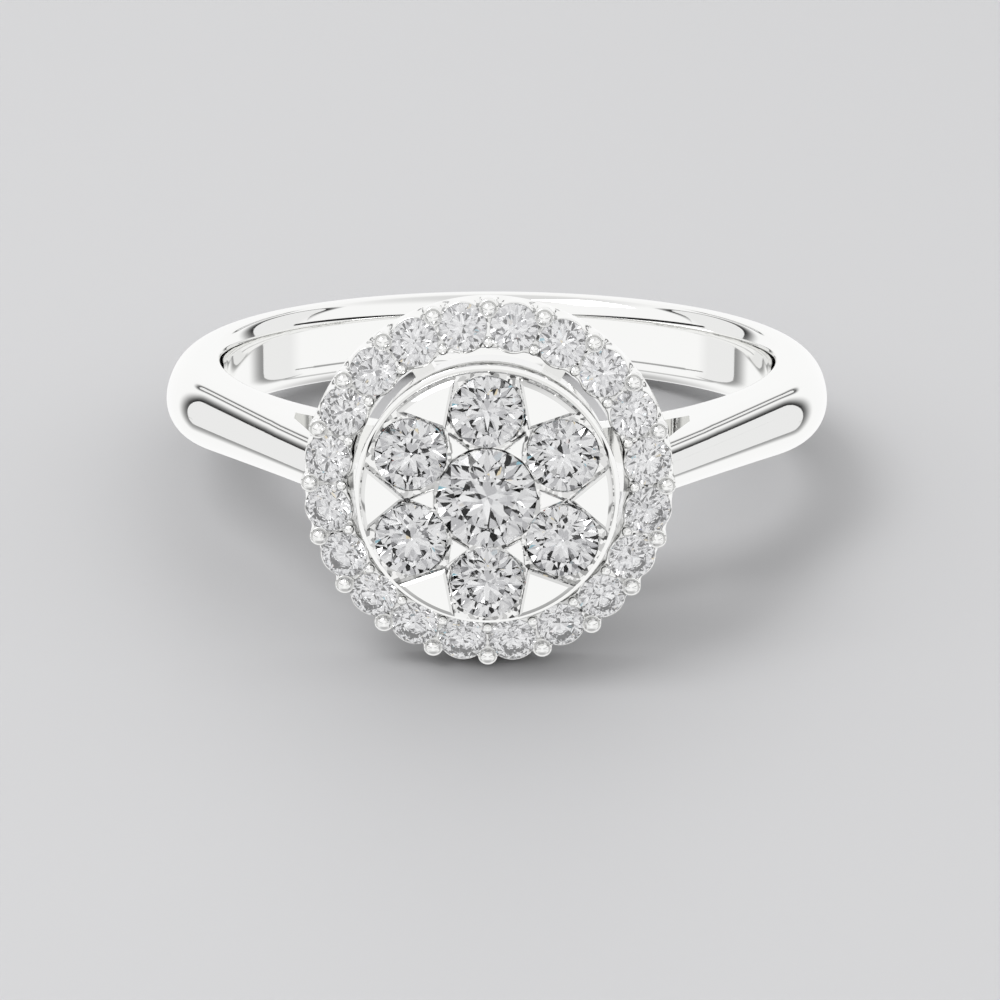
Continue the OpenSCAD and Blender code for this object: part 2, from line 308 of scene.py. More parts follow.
def innerHalf(s, splitR):  # upper half of the inner section: flat bore, quarter ellipse, flat flank
    s = s[:, None]
    widest = ring["backW"] / 2 - ring["comfortFrom"]
    size = np.clip((halfWidth(s) - ring["comfortFrom"]) / widest, ring["comfortLeast"], 1)
    deep = ring["comfortDeep"] * size
    wide = ring["comfortWide"] * size
    cornerR = ring["fingerR"] + deep
    top = flankHeight(cornerR, s)
    boreZ = np.linspace(0, 1, ringSteps["bore"] + 1)[None, :-1] * (top - wide)
    boreR = np.full_like(boreZ, ring["fingerR"])
    t = np.linspace(0, math.pi / 2, ringSteps["corner"] + 1)[None, :]
    turnR = cornerR - deep * np.cos(t)
    turnZ = top - wide * (1 - np.sin(t))
    flankR = mix(cornerR, splitR[:, None], np.linspace(0, 1, ringSteps["flank"] + 1)[None, 1:])
    flankZ = flankHeight(flankR, s)
    return np.concatenate([boreR, turnR, flankR], 1), np.concatenate([boreZ, turnZ, flankZ], 1)


def domeHalf(outer, crown, depth, halfAt):  # upper half of the outer section: an ellipse from split to tip
    t = np.linspace(1, 0, ringSteps["dome"] + 1)[None, :]
    d = depth[:, None] * (1 - np.cos(math.pi / 2 * t))
    r = outer[:, None] - d
    rise = np.sqrt(np.maximum(1 - (1 - np.minimum(d / crown[:, None], 1)) ** 2, 0))
    return r, halfAt(r) * rise


def closeSection(r, z):  # adds the mirrored lower half to an upper half that starts and ends at z = 0
    return np.concatenate([r, r[:, -2:0:-1]], 1), np.concatenate([z, -z[:, -2:0:-1]], 1)


def aroundFinger(r, z, angle):  # places sections at their angles about the finger axis
    return gridPart(np.stack([r * np.cos(angle)[:, None], r * np.sin(angle)[:, None], z], -1), closeV=True)


def pastSide(angle):  # the angle about the finger axis as degrees past the side
    return np.degrees(np.arcsin(-np.sin(angle)))


splitAngle = math.degrees(math.acos(ring["windowX"] / ring["baseR"]))


def bandPart():  # from one shoulder round the back to the other, split where the base goes off inside
    angle = np.radians(np.linspace(-splitAngle, 180 + splitAngle, ringSteps["band"] + 1))
    s = pastSide(angle)
    outer, crown = outerR(s), crownDepth(s)
    splitDepth = outerR(splitAngle) - crownDepth(splitAngle) - ring["fingerR"]
    split = mix(ring["fingerR"], outer - crown, (ring["baseR"] - ring["fingerR"]) / splitDepth)
    inR, inZ = innerHalf(s, split)
    outR, outZ = domeHalf(outer, crown, outer - split, lambda r: flankHeight(r, s[:, None]))
    r, z = closeSection(np.concatenate([inR, outR[:, 1:]], 1), np.concatenate([inZ, outZ[:, 1:]], 1))
    return aroundFinger(r, z, angle)


def basePart():  # the base under the gallery, flat on its outside
    angle = np.radians(np.linspace(-splitAngle, -180 + splitAngle, ringSteps["base"] + 1))
    s = pastSide(angle)
    inR, inZ = innerHalf(s, np.full_like(s, ring["baseR"]))
    wallZ = inZ[:, -1:] * np.linspace(1, 0, ringSteps["wall"] + 1)[None, 1:]
    wallR = np.full_like(wallZ, ring["baseR"])
    r, z = closeSection(np.concatenate([inR, wallR], 1), np.concatenate([inZ, wallZ], 1))
    return aroundFinger(r, z, angle)


def armParts(bend=0.2):  # the shoulders, between the gallery window and the outside, each with its end's cap
    split, turn = math.radians(splitAngle), math.radians(ring["shoulderAngle"])
    start = np.array([ring["windowX"], -ring["baseR"] * math.sin(split)])
    corner = np.array([ring["windowX"], -ring["windowY"]])
    topShare = (ring["armTop"] - ring["windowY"]) / (ring["windowTopY"] - ring["windowY"])
    top = np.array([mix(ring["windowX"], ring["windowTopX"], topShare), -ring["armTop"]])
    outStart = outerR(splitAngle) * np.array([math.cos(split), -math.sin(split)])
    outTopX = (ring["shoulderR"] - ring["armTop"] * math.sin(turn)) / math.cos(turn)
    outTop = np.array([outTopX, -ring["armTop"]])
    foot = np.linspace(0, bend, ringSteps["armFoot"] + 1)
    k = np.concatenate([foot, np.linspace(bend, 1, ringSteps["arm"] + 1)[1:]])[:, None]
    inner = np.where(k < bend, mix(start, corner, k / bend), mix(corner, top, (k - bend) / (1 - bend)))
    outer = mix(outStart, outTop, k)
    depth = np.linalg.norm(outer - inner, axis=1)
    line = (outer - inner) / depth[:, None]
    crown = ring["crown"] / (line @ np.array([math.cos(turn), -math.sin(turn)]))
    s = np.degrees(np.arctan2(-outer[:, 1], outer[:, 0]))
    q, z = domeHalf(depth, crown, depth, lambda r: halfWidth(s)[:, None])
    wall = np.linspace(0, 1, ringSteps["wall"] + 1)[None, :-1] * z[:, :1]
    q, z = closeSection(np.concatenate([np.zeros_like(wall), q], 1), np.concatenate([wall, z], 1))
    arm = np.concatenate([inner[:, None, :] + q[..., None] * line[:, None, :], z[..., None]], -1)
    half = arm.shape[1] // 2 + 1
    rim = arm[-1]
    cap = np.stack([rim[:half], np.concatenate([rim[:1], rim[:half - 2:-1]])], 0)
    mirrored = np.array([-1, 1, 1])
    return [gridPart(arm, closeV=True), gridPart(cap),
            gridPart(arm * mirrored, closeV=True), gridPart(cap * mirrored)]


makePiece("bandMetal", [bandPart(), basePart()] + armParts(), metal, bevel=ring["bevel"])

# Halo: heights are out of the finger hole; steps are those of a sector's outside, side and inside
halo = {
    "stones": 20, "stoneR": 4.68, "stoneD": 1.38, "seatGap": 0.012, "seatDrop": 0.03, "azure": 0.3,
    "slope": 17.8, "faceDrop": 0.1, "lip": 0.035, "blend": 0.05, "lobeR": 0.7, "plainR": 5.2,
    "backH": 12.4, "backR": 5.33, "railH": 12.7, "railR": 5.37, "railStep": 0.05,
    "flare": [0.12, 0.3, 0.5, 0.7, 0.88, 1.0], "flareH": 0.42,
    "notchRise": 0.04, "notchFrom": 7, "notchLight": 0.35,
    "inR": 3.92, "inLobe": 0.735, "inCusp": 4.06, "inWallH": 13.2, "innerGlint": 0.7, "inLight": 0.8,
    "postRing": 5.15, "postR": 0.28, "postFoot": 0.7, "postTaper": 0.02, "postRound": 0.03,
    "beadRing": 5.145, "beadH": 13.59, "beadD": 0.44, "beadFrom": 18, "grooveLight": 0.6,
    "innerRing": 4.22, "innerD": 0.32, "innerFoot": 0.3, "innerFrom": 10, "footLight": 0.5,
    "steps": (37, 6, 25),
}
slope = math.radians(halo["slope"])
pavilion = math.radians(40.75)
# the face round each seat gets painted glints, and the seat below it painted shade
cellLook = {"rows": 4, "seatSteps": 4, "backSteps": 2, "cut": 1.0, "seatLight": 0.9}


def faceH(r):  # height of the halo's sloping face
    return halo["beadH"] - halo["faceDrop"] - (r - halo["beadRing"]) * math.tan(slope)


def softMax(a, b, k):  # the larger of two, rounded where they cross
    h = np.maximum(k - np.abs(a - b), 0) / k
    return np.maximum(a, b) + h * h * k / 4


def chord(centreR, radius, angle):  # half a circle's chord along a ray at this angle from the circle's middle
    return np.sqrt(np.maximum(radius ** 2 - (centreR * np.sin(angle)) ** 2, 0))


def haloOutline(angle):  # scalloped outer radius: a lobe at each stone, a bump at each post
    step = 2 * math.pi / halo["stones"]
    toPost = (angle + step / 2) % step - step / 2
    toStone = angle % step - step / 2
    lobe = halo["stoneR"] * np.cos(toStone) + chord(halo["stoneR"], halo["lobeR"], toStone)
    bump = halo["postRing"] * np.cos(toPost) + chord(halo["postRing"], halo["postR"], toPost)
    isPast = halo["postRing"] * np.abs(np.sin(toPost)) > halo["postR"]
    bump = np.where(isPast, halo["plainR"], bump)
    return softMax(softMax(lobe, bump, halo["blend"]), halo["plainR"], halo["blend"])


def haloHollow(angle):  # scalloped inner radius: a lobe at each stone, cut off at the cusp between two
    toStone = angle % (2 * math.pi / halo["stones"]) - math.pi / halo["stones"]
    lobe = halo["stoneR"] * np.cos(toStone) - chord(halo["stoneR"], halo["inLobe"], toStone)
    return -softMax(-lobe, -halo["inCusp"], halo["blend"])


def cellRim(outline, hollow, steps, count):  # radii and angles round one sector: outside, side, inside, side
    half = math.pi / count
    out = np.linspace(-half, half, steps[0])
    down = np.linspace(0, 1, steps[1] + 2)[1:-1]
    back = np.linspace(half, -half, steps[2])
    outer, inner = outline(out + half), hollow(back + half)
    angle = np.concatenate([out, np.full(steps[1], half), back, np.full(steps[1], -half)])
    r = np.concatenate([outer, mix(outer[-1], inner[0], down), inner, mix(inner[-1], outer[0], down)])
    return r, angle + half


def cellSides(steps):  # where the outside and the inside lie in a sector's outline
    start = steps[0] + steps[1]
    return slice(0, steps[0]), slice(start, start + steps[2])


def spinPart(part, count):  # repeats a part about the head's axis
    points, quads, look = part
    turn = np.arange(count)[:, None] * 2 * math.pi / count
    x, y, z = points.T
    c, s = np.cos(turn), np.sin(turn)
    spun = np.stack([x * c - z * s, y + 0 * turn, x * s + z * c], -1)
    starts = (np.arange(count) * len(points))[:, None, None]
    return spun.reshape(-1, 3), (quads + starts).reshape(-1, 4), np.tile(look, (count, 1))


def wallPart(levels, angle):  # a wall through levels of (radius, height) about the head's axis
    return gridPart(np.stack([headPoint(r, angle, h) for r, h in levels], 0))


def roundOver(size):  # three steps over a rounded edge: how far in, and how far below its top
    angles = [math.radians(a) for a in (30, 60, 90)]
    return [(size * (1 - math.cos(a)), size * (1 - math.sin(a))) for a in angles]


def cellPart(rim, angle, rimH, backR, backH, seat):
    # from the sector's outline to the seat's edge, down its cone, along the back hole and out on the back
    radial = np.array([math.cos(seat["angle"]), 0, math.sin(seat["angle"])])
    along = np.array([-math.sin(seat["angle"]), 0, math.cos(seat["angle"])])
    out = np.array([0, -1.0, 0])
    axis = out * math.cos(seat["tilt"]) + radial * math.sin(seat["tilt"])
    across = radial * math.cos(seat["tilt"]) - out * math.sin(seat["tilt"])
    centre = headPoint(seat["ring"], seat["angle"], seat["h"])
    edge = headPoint(rim, angle, rimH)
    turn = np.arctan2((edge - centre) @ along, (edge - centre) @ across)
    circle = np.cos(turn)[:, None] * across + np.sin(turn)[:, None] * along
    faceShare = np.linspace(0, 1, cellLook["rows"] + 1)[:, None, None]
    backShare = np.linspace(0, 1, cellLook["backSteps"] + 1)[:, None, None]
    face = mix(edge, centre + seat["r"] * circle, faceShare)
    r = mix(seat["r"], seat["azure"], np.linspace(0, 1, cellLook["seatSteps"] + 1))[:, None, None]
    cone = centre + r * circle - axis * (seat["drop"] + (seat["r"] - r) * math.tan(pavilion))
    lowest = cone[-1]
    travel = np.abs((-lowest[:, 1] - backH) / axis[1])
    bottom = lowest - axis * travel[:, None]
    tube = mix(lowest, bottom, backShare)
    under = mix(bottom, headPoint(backR, angle, backH), backShare)
    sheet = np.concatenate([face, cone, tube[1:], under[1:]], 0)
    # painted glints on the face rows, painted shade down the seat
    isFace = np.arange(len(sheet) - 1) < cellLook["rows"]
    light = np.where(isFace, 1, cellLook["seatLight"])
    return withPaintedLight(gridPart(sheet, closeV=True), isFace * cellLook["cut"], light)


def lathe(profile, centreR, baseH, steps):  # turns (radius, height) pairs about an axis out of the head
    r, h = np.array(profile, float).T[:, :, None]
    t = np.linspace(0, 2 * math.pi, steps, endpoint=False)
    turned = np.stack(np.broadcast_arrays(r * np.cos(t), -h, r * np.sin(t)), -1)
    return gridPart(headPoint(centreR, 0, baseH) + turned, closeV=True)


def beadDome(radius, start, steps):  # a bead's dome as (radius, height) pairs, from a start angle to its top
    angles = np.radians(np.linspace(start, 90, steps))
    return [(radius * math.cos(a), radius * math.sin(a)) for a in angles[:-1]] + [(0.0, radius)]


def haloOuterWall(full, angle):  # from the back over the rail and the flare to the scalloped front edge
    lip = halo["lip"]
    levels = [(halo["backR"], halo["backH"]), (halo["railR"], halo["railH"] - halo["railStep"]),
              (halo["railR"], halo["railH"])]
    levels += [(mix(halo["railR"], full, smooth(t)), halo["railH"] + halo["flareH"] * t)
               for t in halo["flare"]]
    topH = faceH(full - lip)
    levels.append((full, topH - lip))
    levels += [(full - inward, topH - below) for inward, below in roundOver(lip)]
    points, quads, look = wallPart(levels, angle)
    # painted shade in the notches between the lobes, on the upper rows
    isNotch = (full[:-1] + full[1:]) / 2 < halo["plainR"] + halo["notchRise"]
    isUpper = np.arange(len(levels) - 1)[:, None] >= halo["notchFrom"]
    look[:, 1] = np.where(isUpper & isNotch, halo["notchLight"], 1).reshape(-1)
    return points, quads, look


def haloInnerWall(inR, angle):  # straight up from the back, then out to the scalloped edge
    lip = halo["lip"]
    topH = faceH(inR + lip)
    levels = [(halo["inR"], halo["backH"]), (halo["inR"], halo["inWallH"]), (inR, topH - lip)]
    levels += [(inR + inward, topH - below) for inward, below in roundOver(lip)]
    # painted glints and painted shade over the inner wall
    return withPaintedLight(wallPart(levels, angle), halo["innerGlint"], halo["inLight"])


def postPart():  # an outer post with its bead, with painted shade in the groove between them
    r, postR = halo["beadD"] / 2, halo["postR"]
    profile = [(0, -halo["postFoot"]), (postR - halo["postTaper"], -halo["postFoot"]), (postR, 0.0)]
    profile += [(postR - inward, halo["postRound"] - below) for inward, below in roundOver(halo["postRound"])]
    profile += [(r * 1.02, 0.02), (r * 0.995, 0.03)]
    grooveEnd = len(profile)
    profile += beadDome(r, halo["beadFrom"], 10)
    light = np.ones(len(profile) - 1)
    # painted shade in the groove
    light[grooveEnd - 2:grooveEnd + 1] = halo["grooveLight"]
    return withPaintedLight(lathe(profile, halo["beadRing"], halo["beadH"], 28), 0, light)


def innerBead():  # a small bead on the halo's inside, with painted shade at its foot
    r = halo["innerD"] / 2
    profile = [(0, -halo["innerFoot"]), (r, -halo["innerFoot"]), (r, 0.0)] + beadDome(r, halo["innerFrom"], 9)
    light = np.ones(len(profile) - 1)
    # painted shade at the foot
    light[:2] = halo["footLight"]
    part = lathe(profile, halo["innerRing"], faceH(halo["innerRing"]) + halo["faceDrop"], 20)
    return withPaintedLight(part, 0, light)


def haloParts():
    lip, count = halo["lip"], halo["stones"]
    rim, angle = cellRim(haloOutline, lambda a: haloHollow(a) + lip, halo["steps"], count)
    outside, inside = cellSides(halo["steps"])
    shape, hollow = haloOutline(angle), haloHollow(angle)
    share = (rim - hollow - lip) / (shape - hollow - lip)
    face = mix(hollow + lip, shape - lip, share)
    seat = {"ring": halo["stoneR"], "angle": math.pi / count, "h": faceH(halo["stoneR"]), "tilt": slope,
            "r": halo["stoneD"] / 2 + halo["seatGap"], "drop": halo["seatDrop"], "azure": halo["azure"]}
    cell = cellPart(face, angle, faceH(face), mix(halo["inR"], halo["backR"], share), halo["backH"], seat)
    walls = [haloOuterWall(rim[outside], angle[outside]), haloInnerWall(hollow[inside], angle[inside])]
    return [spinPart(part, count) for part in [cell] + walls + [postPart(), innerBead()]]


haloPiece = makePiece("haloMetal", haloParts(), metal)

# Cup with its wedges and prongs, and the bridges to the halo; each list of painted light goes up the part's
# rows, and values below 1 are painted shade
cup = {
    "stones": 6, "stoneRing": 2.5, "stoneD": 2.06, "centreD": 2.87, "centreLift": 0.1, "girdleH": 15.27,
    "backH": 12.55, "backR": 3.607, "backIn": 0.9, "rimH": 14.93, "rimR": 3.79, "rimT": 0.11, "round": 0.03,
    "plateH": 15.215, "plateR": 3.629, "plateFlare": 0.008, "plateEdge": 0.035, "bowl": 0.12,
    "wallLight": [0.86, 0.86, 1, 1, 1, 1, 0.9, 0.3], "seatGap": 0.02, "seatRise": 0.05, "azure": 0.45,
    "cellIn": 1.4, "lipGap": 0.055, "centreAzure": 0.6, "centreLight": [1, 0.9, 0.9, 0.9],
    "wedgeH": 15.54, "wedgeTip": 2.34, "wedgeOut": 3.615, "wedgeOutTop": 3.565, "wedgeLean": 0.7,
    "wedgeSlope": 40.4, "wedgeBevel": 0.1, "wedgeLight": [1, 0.5, 0.8, 0.84, 1],
    "prongIn": 1.5, "prongTip": 2.2, "prongHalf": 0.29, "prongBevel": 0.035,
    "prongLight": [1, 0.8, 0.9, 0.9, 1], "sink": 0.06, "steps": (41, 9, 21), "sharp": 24,
    "bridgeW": 0.6, "bridgeH": 0.7, "bridgeIn": 3.2, "bridgeOut": 4.1, "bridgeSink": 0.02,
}


def wedgeRow(tip, out, steps=9):  # outline of a wedge: two straight sides from its tip to an arc, and the arc
    a = math.radians(cup["wedgeSlope"])
    far = -tip * math.cos(a) + math.sqrt(out * out - (tip * math.sin(a)) ** 2)
    end = math.atan2(far * math.sin(a), tip + far * math.cos(a))
    side = np.linspace(0, far, steps)[:-1]
    up = np.stack([tip + side * math.cos(a), side * math.sin(a)], -1)
    turn = np.linspace(end, -end, 2 * steps - 1)
    arc = np.stack([out * np.cos(turn), out * np.sin(turn)], -1)
    down = up[:0:-1] * np.array([1, -1])
    return np.concatenate([up, arc, down], 0)


def prongRow(inset, steps=5):  # outline of a small prong: a triangle with its tip outwards
    slant = math.atan2(cup["prongHalf"], cup["prongTip"] - cup["prongIn"])
    tip = cup["prongTip"] - inset / math.sin(slant)
    back = cup["prongIn"] + inset
    half = (tip - back) * math.tan(slant)
    corners = np.array([[tip, 0], [back, half], [back, -half], [tip, 0]])
    t = np.linspace(0, 1, steps)[:-1]
    return np.concatenate([mix(corners[i], corners[i + 1], t[:, None]) for i in range(3)], 0)


def prismPart(rows, heights):  # stacked outlines, closed below and on top by fans to their middles
    layers = [np.stack([row[:, 0], np.full(len(row), -h), row[:, 1]], -1) for row, h in zip(rows, heights)]
    bottom = np.broadcast_to(layers[0].mean(0), layers[0].shape)
    top = np.broadcast_to(layers[-1].mean(0), layers[-1].shape)
    return gridPart(np.stack([bottom] + layers + [top], 0), closeV=True)


def cupWall(angle):  # up the outside, over the thin rim and in to the plate
    rimR, rimH = cup["rimR"], cup["rimH"]
    middle = (mix(cup["backR"], rimR, 0.5), mix(cup["backH"], rimH, 0.5))
    levels = [(cup["backR"], cup["backH"]), middle, (rimR, rimH - cup["round"])]
    levels += [(rimR - inward, rimH - below) for inward, below in roundOver(cup["round"])]
    levels += [(rimR - cup["rimT"], rimH),
               (cup["plateR"] + cup["plateFlare"], cup["plateH"] - cup["plateEdge"]),
               (cup["plateR"], cup["plateH"])]
    # painted shade low on the outside, and a dark line of painted shade at the step up to the plate
    return withPaintedLight(wallPart(levels, angle), 0, cup["wallLight"])


def platePart(rim, angle):  # a sector of the plate with a stone's seat, bowled between the stones
    half = math.pi / cup["stones"]
    rise = cup["girdleH"] - cup["plateH"] - cup["seatRise"]
    seat = {"ring": cup["stoneRing"], "angle": half, "h": cup["plateH"], "tilt": 0.0, "drop": 0.0,
            "r": cup["stoneD"] / 2 + cup["seatGap"] - rise / math.tan(pavilion), "azure": cup["azure"]}
    share = (rim - cup["cellIn"]) / (cup["plateR"] - cup["cellIn"])
    between = np.sin(np.pi * share) * np.isclose(np.abs(angle - half), half)
    plateH = cup["plateH"] + cup["bowl"] * between
    return cellPart(rim, angle, plateH, mix(cup["backIn"], cup["backR"], share), cup["backH"], seat)


def centreSeat(angle):  # down under the middle stone, along its open hole and out on the back
    tangent = math.tan(pavilion)
    lipH = cup["girdleH"] + cup["centreLift"] - cup["lipGap"] - (cup["centreD"] / 2 - cup["cellIn"]) * tangent
    seatEnd = lipH - (cup["cellIn"] - cup["centreAzure"]) * tangent
    levels = [(cup["cellIn"], cup["plateH"]), (cup["cellIn"], lipH), (cup["centreAzure"], seatEnd),
              (cup["centreAzure"], cup["backH"]), (cup["backIn"], cup["backH"])]
    # painted shade down the seat and its hole
    return withPaintedLight(wallPart(levels, angle), 0, cup["centreLight"])


def wedgePart():  # a flat wedge between two stones; a bevel step is how far in and how far below the top
    bevel, tip, outTop = cup["wedgeBevel"], cup["wedgeTip"], cup["wedgeOutTop"]
    rows = [wedgeRow(tip, cup["wedgeOut"]), wedgeRow(tip, mix(cup["wedgeOut"], outTop, cup["wedgeLean"]))]
    heights = [cup["plateH"] - cup["sink"], cup["wedgeH"] - bevel]
    for inward, below in ((0.25, 0.55), (1, 0)):
        tipInset = inward * bevel / math.sin(math.radians(cup["wedgeSlope"]))
        rows.append(wedgeRow(tip + tipInset, outTop - inward * bevel))
        heights.append(cup["wedgeH"] - below * bevel)
    # painted shade on the sides and the bevel
    return withPaintedLight(prismPart(rows, heights), 0, cup["wedgeLight"])


def prongPart():  # a small flat prong at the middle stone, with a bevel as on the wedges
    bevel = cup["prongBevel"]
    rows, heights = [prongRow(0)], [cup["plateH"] - cup["sink"]]
    for inward, below in ((0, 1), (0.3, 0.3), (1, 0)):
        rows.append(prongRow(inward * bevel))
        heights.append(cup["wedgeH"] - below * bevel)
    # painted shade on the sides and the bevel
    return withPaintedLight(prismPart(rows, heights), 0, cup["prongLight"])


def bridgePart():  # a square bar from the cup to the halo, low behind the gap
    w, low = cup["bridgeW"] / 2, halo["backH"] + cup["bridgeSink"]
    section = np.array([[-w, low], [w, low], [w, low + cup["bridgeH"]], [-w, low + cup["bridgeH"]]])
    ends = [np.stack([np.full(4, r), -section[:, 1], section[:, 0]], -1)
            for r in (cup["bridgeIn"], cup["bridgeOut"])]
    caps = [np.broadcast_to(end.mean(0), end.shape) for end in ends]
    return gridPart(np.stack([caps[0], ends[0], ends[1], caps[1]], 0), closeV=True)


def cupParts():
    rim, angle = cellRim(lambda a: np.full_like(a, cup["plateR"]), lambda a: np.full_like(a, cup["cellIn"]),
                         cup["steps"], cup["stones"])
    outside, inside = cellSides(cup["steps"])
    parts = [cupWall(angle[outside]), platePart(rim, angle), centreSeat(angle[inside]),
             wedgePart(), prongPart(), bridgePart()]
    return [spinPart(part, cup["stones"]) for part in parts]


cupPiece = makePiece("cupMetal", cupParts(), metal, sharpAngle=cup["sharp"])

for name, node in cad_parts.items():
    if name != "ring_mount":
        node.data.shade_flat()
        node.data.materials.clear()
        node.data.materials.append(smallDiamond if name.startswith("halo_stone") else diamond)
haloPiece.visible_transmission = False  # the stones show the studio, not their dark seats
cupPiece.visible_transmission = False
print("stones dressed")

# Floor, a soft lamp and the camera
studio = {
    "floorSize": 1200, "floorDrop": 0.01, "floorColour": (0.60, 0.60, 0.61, 1), "floorRough": 0.55,
    "paperScale": 900, "paperBump": 0.03, "paperDepth": 0.1,
    "keyPlace": (-160, -80, 300), "keySize": 160, "keyPower": 0.35,
}
shot = {
    "eye": (2.27304, -110.34084, 49.26902), "aim": (0.0965, 2.05078, -0.68584),
    "lens": 135.737, "sensor": 36, "near": 5, "far": 5000,
}


def paperMaterial():
    paper = bpy.data.materials.new("paper")
    paper.use_nodes = True
    tree = paper.node_tree
    noise = newNode(tree, "ShaderNodeTexNoise", {"Scale": studio["paperScale"]})
    bumpFeeds = {"Height": noise.outputs["Fac"], "Strength": studio["paperBump"],
                 "Distance": studio["paperDepth"] / 1000}
    bump = newNode(tree, "ShaderNodeBump", bumpFeeds)
    shader = tree.nodes["Principled BSDF"]
    feed(tree, shader.inputs["Base Color"], studio["floorColour"])
    feed(tree, shader.inputs["Roughness"], studio["floorRough"])
    feed(tree, shader.inputs["Normal"], bump.outputs["Normal"])
    return paper


def layFloor():
    half = studio["floorSize"] / 2000
    corners = [(-half, -half, 0), (half, -half, 0), (half, half, 0), (-half, half, 0)]
    mesh = bpy.data.meshes.new("floor")
    mesh.from_pydata(corners, [], [(0, 1, 2, 3)])
    mesh.materials.append(paperMaterial())
    floor = bpy.data.objects.new("floor", mesh)
    floor.location.z = -studio["floorDrop"] / 1000
    bpy.context.scene.collection.objects.link(floor)
    floor.visible_glossy = False  # the metal and stones mirror the studio, not the floor
    floor.visible_transmission = False


def aimAt(thing, place, target):  # puts a lamp or a camera in its place and turns it to a point
    thing.location = place
    thing.rotation_euler = (target - place).to_track_quat("-Z", "Y").to_euler()
    bpy.context.scene.collection.objects.link(thing)


layFloor()

keyData = bpy.data.lights.new("key", "AREA")
keyData.size = studio["keySize"] / 1000
keyData.energy = studio["keyPower"]
aimAt(bpy.data.objects.new("key", keyData), Vector(studio["keyPlace"]) / 1000, Vector((0, 0, 0)))

cameraData = bpy.data.cameras.new("camera")
cameraData.lens = shot["lens"]
cameraData.sensor_width = shot["sensor"]
cameraData.clip_start = shot["near"] / 1000
cameraData.clip_end = shot["far"] / 1000
camera = bpy.data.objects.new("camera", cameraData)
aimAt(camera, Vector(shot["eye"]) / 1000, Vector(shot["aim"]) / 1000)
bpy.context.scene.camera = camera

# The studio is white all round, with panels and thin bars that have a dark edge, the same on both sides.
# Azimuth 0 is the front and 90 the right; wide and high are half angles; glow is a panel's own tone and
# dark its edge's. A panel that isn't whole loses its edge and its tone towards the front.
rightPanels = [
    {"azimuth": 111.5, "height": 8, "roll": -22, "wide": 17.5, "high": 38, "corner": 16,
     "glow": 0.88, "edge": 5, "sideEdge": 17, "dark": 0.02, "whole": False},
    {"azimuth": 158.5, "height": 24, "roll": 0, "wide": 2, "high": 8, "corner": 1.5,
     "glow": 0.9, "edge": 4, "sideEdge": 4, "dark": 0.03, "whole": True},
    {"azimuth": 58, "height": 9.5, "roll": 0, "wide": 42, "high": 2.3, "corner": 2.2,
     "glow": 0.01, "edge": 1, "sideEdge": 3, "dark": 0.15, "whole": True},
    {"azimuth": 58, "height": -14, "roll": -7.5, "wide": 38, "high": 1, "corner": 0.9,
     "glow": 0.35, "edge": 2, "sideEdge": 4, "dark": 0.4, "whole": True},
    {"azimuth": 66, "height": -40, "roll": 0, "wide": 34, "high": 1, "corner": 0.9,
     "glow": 0.55, "edge": 3, "sideEdge": 5, "dark": 0.6, "whole": True},
]
sky = {
    "white": 1.0, "low": 0.5, "lowFrom": -40, "lowTo": -70, "cap": 0.75, "capFrom": 45, "capTo": 85,
    "behindFrom": 0.06, "behindGain": 9.0, "upperGain": 0.6, "upperMiddle": 0.9, "upperLeast": 0.5,
}
# What the stones bend towards the eye: patches, most of them white, some grey, a few dark or coloured
sparkle = {"cells": 8.0, "shades": [
    (0.0, grey(0.01)), (0.17, (0.3, 0.3, 0.31, 1)), (0.27, (0.62, 0.62, 0.63, 1)), (0.42, grey(0.82)),
    (0.6, grey(0.96)), (0.957, (0.14, 0.15, 0.36, 1)), (0.968, (0.5, 0.2, 0.18, 1)),
    (0.979, (0.33, 0.6, 0.7, 1)), (0.99, (0.9, 0.78, 0.55, 1))]}


def panelDistance(tree, ray, behind, panel, leastAhead=0.05, tiny=1e-6):
    # how far a ray passes outside the panel's round-cornered rectangle, as shares of its dark edge's width
    azimuth, height, roll = (math.radians(panel[key]) for key in ("azimuth", "height", "roll"))
    wide, high, corner = (math.tan(math.radians(panel[key])) for key in ("wide", "high", "corner"))
    edge, sideEdge = (math.tan(math.radians(panel[key])) for key in ("edge", "sideEdge"))
    flat = math.cos(height)
    centre = Vector((math.sin(azimuth) * flat, -math.cos(azimuth) * flat, math.sin(height)))
    right = Vector((math.cos(azimuth), math.sin(azimuth), 0))
    up = centre.cross(right)
    sideways = right * math.cos(roll) + up * math.sin(roll)
    upwards = up * math.cos(roll) - right * math.sin(roll)
    ahead = mathNode(tree, "MAXIMUM", dotNode(tree, ray, centre), leastAhead)
    squares = []
    for axis, half in ((sideways, wide), (upwards, high)):
        away = mathNode(tree, "ABSOLUTE", mathNode(tree, "DIVIDE", dotNode(tree, ray, axis), ahead))
        past = mathNode(tree, "MAXIMUM", mathNode(tree, "SUBTRACT", away, half - corner), 0.0)
        squares.append(mathNode(tree, "MULTIPLY", past, past))
    both = mathNode(tree, "MAXIMUM", mathNode(tree, "ADD", *squares), tiny)
    share = mathNode(tree, "MULTIPLY", mathNode(tree, "DIVIDE", squares[0], both), behind)
    width = mathNode(tree, "MULTIPLY_ADD", share, sideEdge - edge, edge)
    return mathNode(tree, "DIVIDE", mathNode(tree, "SUBTRACT", mathNode(tree, "SQRT", both), corner), width)


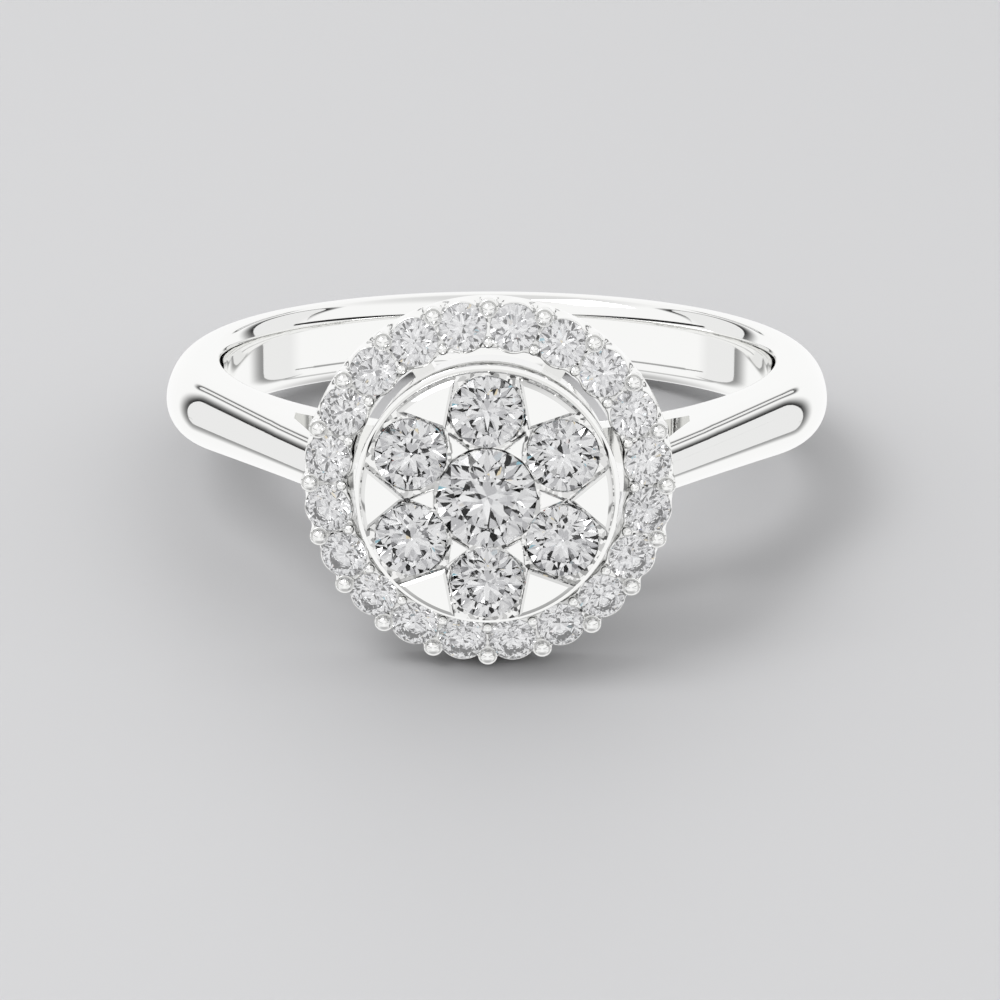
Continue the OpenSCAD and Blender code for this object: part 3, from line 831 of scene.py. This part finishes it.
def studioLight(tree, ray):  # the sky's fades times each panel's dark edge, then each panel's tone over them
    rise = dotNode(tree, ray, (0, 0, 1))
    light = sky["white"]
    for word in ("low", "cap"):
        start, end = (math.sin(math.radians(sky[word + key])) for key in ("From", "To"))
        light = mathNode(tree, "MULTIPLY", light, fadeNode(tree, rise, start, end, 1, sky[word]))
    behind = mathNode(tree, "SUBTRACT", dotNode(tree, ray, (0, 1, 0)), sky["behindFrom"])
    behind = clampNode(tree, mathNode(tree, "MULTIPLY", behind, sky["behindGain"]), 0.0, 1.0)
    upper = mathNode(tree, "MULTIPLY_ADD", rise, sky["upperGain"], sky["upperMiddle"])
    upper = clampNode(tree, upper, sky["upperLeast"], 1.0)
    panels = [{**panel, "azimuth": side * panel["azimuth"], "roll": side * panel["roll"]}
              for panel in rightPanels for side in (-1, 1)]
    distances = [panelDistance(tree, ray, behind, panel) for panel in panels]
    for distance, panel in zip(distances, panels):
        hold = 1.0 if panel["whole"] else mathNode(tree, "MULTIPLY", behind, upper)
        fade = mathNode(tree, "MULTIPLY", hold, fadeNode(tree, distance, 0, 1, 1 - panel["dark"], 0))
        light = mathNode(tree, "MULTIPLY", light, mathNode(tree, "SUBTRACT", 1.0, fade))
    for distance, panel in zip(distances, panels):
        isInside = mathNode(tree, "LESS_THAN", distance, 0.0)
        tone = panel["glow"]
        if not panel["whole"]:
            tone = mathNode(tree, "MULTIPLY_ADD", behind, panel["glow"] - 1, 1.0)
        glow = mathNode(tree, "MULTIPLY", isInside, tone)
        rest = mathNode(tree, "MULTIPLY", mathNode(tree, "SUBTRACT", 1.0, isInside), light)
        light = mathNode(tree, "ADD", glow, rest)
    return light


def studioWorld():  # the studio for all rays but those bent by a stone, which see the patches
    world = bpy.data.worlds.new("studio")
    bpy.context.scene.world = world
    world.use_nodes = True
    world.cycles.sampling_method = "NONE"  # it is nearly even, so chance rays find it
    tree = world.node_tree
    ray = newNode(tree, "ShaderNodeTexCoord").outputs["Generated"]
    plain = tree.nodes["Background"]
    feed(tree, plain.inputs["Color"], studioLight(tree, ray))
    patches = newNode(tree, "ShaderNodeBackground", {
        "Color": patchNode(tree, ray, sparkle["cells"], sparkle["shades"])})
    isBent = newNode(tree, "ShaderNodeLightPath").outputs["Is Transmission Ray"]
    both = shaderNode(tree, isBent, plain.outputs[0], patches.outputs[0])
    tree.links.new(both, tree.nodes["World Output"].inputs["Surface"])


studioWorld()

cycles = bpy.context.scene.cycles
cycles.max_bounces = cycles.transmission_bounces = 11
cycles.glossy_bounces = 4
cycles.diffuse_bounces = 2
cycles.caustics_reflective = cycles.caustics_refractive = False
bpy.context.scene.view_settings.view_transform = "Standard"
print("studio ready")
